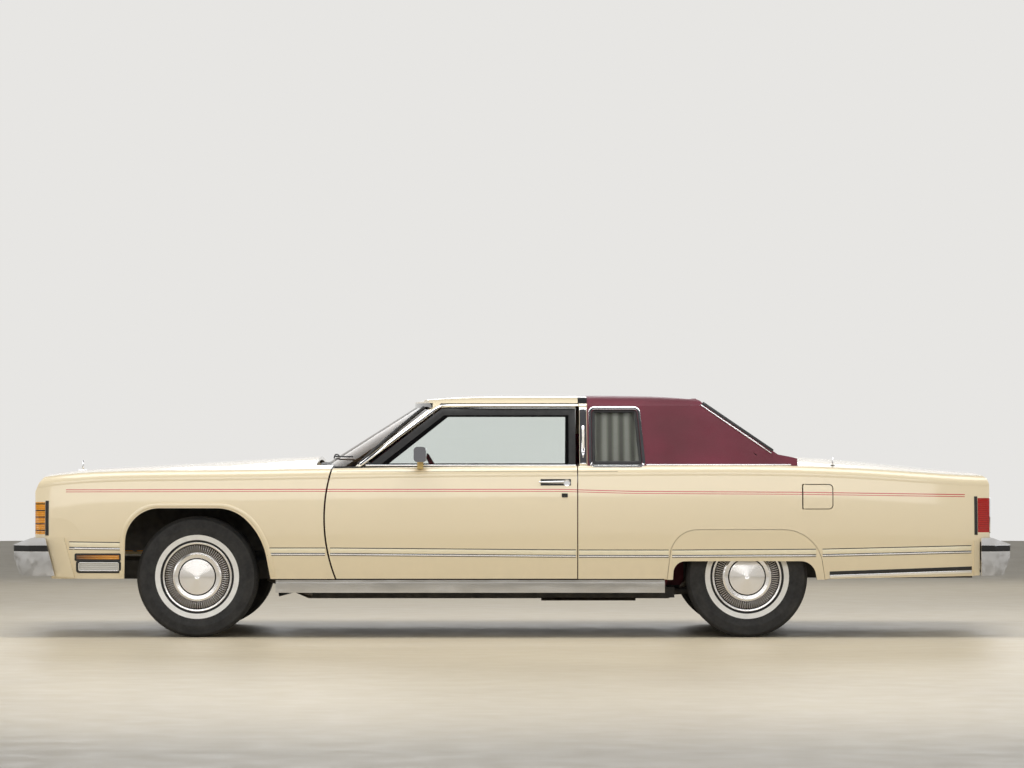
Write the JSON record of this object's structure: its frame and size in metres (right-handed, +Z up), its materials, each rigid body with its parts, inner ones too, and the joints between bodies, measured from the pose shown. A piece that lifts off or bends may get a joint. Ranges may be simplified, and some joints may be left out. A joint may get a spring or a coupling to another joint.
{
  "type": "full-size luxury two-door car",
  "caption": "Long two-door luxury car with landau vinyl rear roof, opera windows, fender skirts and chrome bumpers; wheels, steering, doors, hood, trunk lid and fuel door move.",
  "frame": {"origin": "on the ground, at the middle of the car's length and width", "axes": "nose towards -X, left side of the car towards -Y, +Z up"},
  "size_m": [5.918, 2.0663, 1.4298],
  "materials": {
    "body_paint": "gloss",
    "burgundy_vinyl": "grained",
    "chassis_black": "satin",
    "cast_metal": "rough",
    "exhaust_steel": "dull",
    "radiator_metal": "satin",
    "chrome": "polished",
    "wheel_chrome": "polished",
    "tyre": "matt",
    "glass": "clear, slightly tinted",
    "amber_lens": "translucent",
    "red_lens": "translucent",
    "clear_lens": "translucent",
    "seat_leather": "soft",
    "interior_trim": "matt"
  },
  "bodies": {
    "body": {"frame": "chassis_black", "floor_pan": "chassis_black", "cowl": "body_paint", "dashboard": "interior_trim", "driveline": "cast_metal", "engine": "cast_metal", "exhaust": "exhaust_steel", "fender_skirts": "body_paint", "front_bumper": "chrome", "front_fender_left": "body_paint", "front_fender_right": "body_paint", "bumper_fillers": "body_paint", "cornering_lamps": "clear_lens", "front_seat": "seat_leather", "front_suspension": "chassis_black", "fuel_tank": "chassis_black", "grille": "chrome", "header_panel": "body_paint", "headlamp_covers": "body_paint", "opera_windows": "glass", "package_shelf": "interior_trim", "parking_lamps": "amber_lens", "quarter_panel_left": "body_paint", "quarter_panel_right": "body_paint", "radiator": "radiator_metal", "rear_axle": "chassis_black", "rear_bumper": "chrome", "rear_seat": "seat_leather", "rear_suspension": "chassis_black", "rear_window": "glass", "rocker_panels": "chrome", "roof": "body_paint", "steering_column": "interior_trim", "tail_lamps": "red_lens", "tail_panel": "body_paint", "vinyl_roof": "burgundy_vinyl", "windshield": "glass"},
    "front_left_knuckle": {"knuckle_left": "chassis_black"},
    "front_right_knuckle": {"knuckle_right": "chassis_black"},
    "front_left_wheel": {"wheel_front_left": "wheel_chrome", "tyre_front_left": "tyre"},
    "front_right_wheel": {"wheel_front_right": "wheel_chrome", "tyre_front_right": "tyre"},
    "rear_left_wheel": {"wheel_rear_left": "wheel_chrome", "tyre_rear_left": "tyre"},
    "rear_right_wheel": {"wheel_rear_right": "wheel_chrome", "tyre_rear_right": "tyre"},
    "steering_linkage": {"steering_linkage": "chassis_black"},
    "steering_wheel": {"steering_wheel": "interior_trim"},
    "door_left": {"door_left": "body_paint", "door_glass_left": "glass", "door_mirror_left": "chrome"},
    "door_right": {"door_right": "body_paint", "door_glass_right": "glass"},
    "hood": {"hood": "body_paint"},
    "trunk_lid": {"trunk_lid": "body_paint"},
    "fuel_door": {"fuel_door": "body_paint"}
  },
  "joints": [
    {"name": "left_wheel_steer", "type": "hinge", "parent": "body", "child": "front_left_knuckle", "pos_m": [-1.85, -0.756, 0.355], "axis": [0, 0, 1], "range_deg": [-33, 33]},
    {"name": "right_wheel_steer", "type": "hinge", "parent": "body", "child": "front_right_knuckle", "pos_m": [-1.85, 0.756, 0.355], "axis": [0, 0, 1], "range_deg": [-34, 34]},
    {"name": "steering_linkage_slide", "type": "slide", "parent": "body", "child": "steering_linkage", "axis": [0, 1, 0], "range_m": [-0.078, 0.078]},
    {"name": "steering_wheel_turn", "type": "hinge", "parent": "body", "child": "steering_wheel", "pos_m": [-0.42, -0.37, 0.9], "axis": [0.88, 0, 0.475], "range_deg": [-565, 565]},
    {"name": "front_left_wheel_spin", "type": "hinge", "parent": "front_left_knuckle", "child": "front_left_wheel", "pos_m": [-1.85, -0.8165, 0.355], "axis": [0, -1, 0], "continuous": true},
    {"name": "front_right_wheel_spin", "type": "hinge", "parent": "front_right_knuckle", "child": "front_right_wheel", "pos_m": [-1.85, 0.8165, 0.355], "axis": [0, -1, 0], "continuous": true},
    {"name": "rear_left_wheel_spin", "type": "hinge", "parent": "body", "child": "rear_left_wheel", "pos_m": [1.381, -0.8165, 0.355], "axis": [0, -1, 0], "continuous": true},
    {"name": "rear_right_wheel_spin", "type": "hinge", "parent": "body", "child": "rear_right_wheel", "pos_m": [1.381, 0.8165, 0.355], "axis": [0, -1, 0], "continuous": true},
    {"name": "door_left_hinge", "type": "hinge", "parent": "body", "child": "door_left", "pos_m": [-1.02, -0.98, 0.6], "axis": [0, 0, -1], "range_deg": [0, 65]},
    {"name": "door_right_hinge", "type": "hinge", "parent": "body", "child": "door_right", "pos_m": [-1.02, 0.98, 0.6], "axis": [0, 0, 1], "range_deg": [0, 65]},
    {"name": "hood_hinge", "type": "hinge", "parent": "body", "child": "hood", "pos_m": [-1.148, 0, 0.992], "axis": [0, 1, 0], "range_deg": [0, 50]},
    {"name": "trunk_lid_hinge", "type": "hinge", "parent": "body", "child": "trunk_lid", "pos_m": [1.6, 0, 1.008], "axis": [0, -1, 0], "range_deg": [0, 70]},
    {"name": "fuel_door_hinge", "type": "hinge", "parent": "body", "child": "fuel_door", "pos_m": [1.716, -0.98338, 0.757], "axis": [0, -0.11, -0.9939], "range_deg": [0, 90]}
  ],
  "couplings": [
    {"joint": "right_wheel_steer", "follows": "left_wheel_steer", "ratio": 1},
    {"joint": "steering_linkage_slide", "follows": "left_wheel_steer", "m_per_rad": 0.13},
    {"joint": "steering_wheel_turn", "follows": "left_wheel_steer", "ratio": 17}
  ]
}
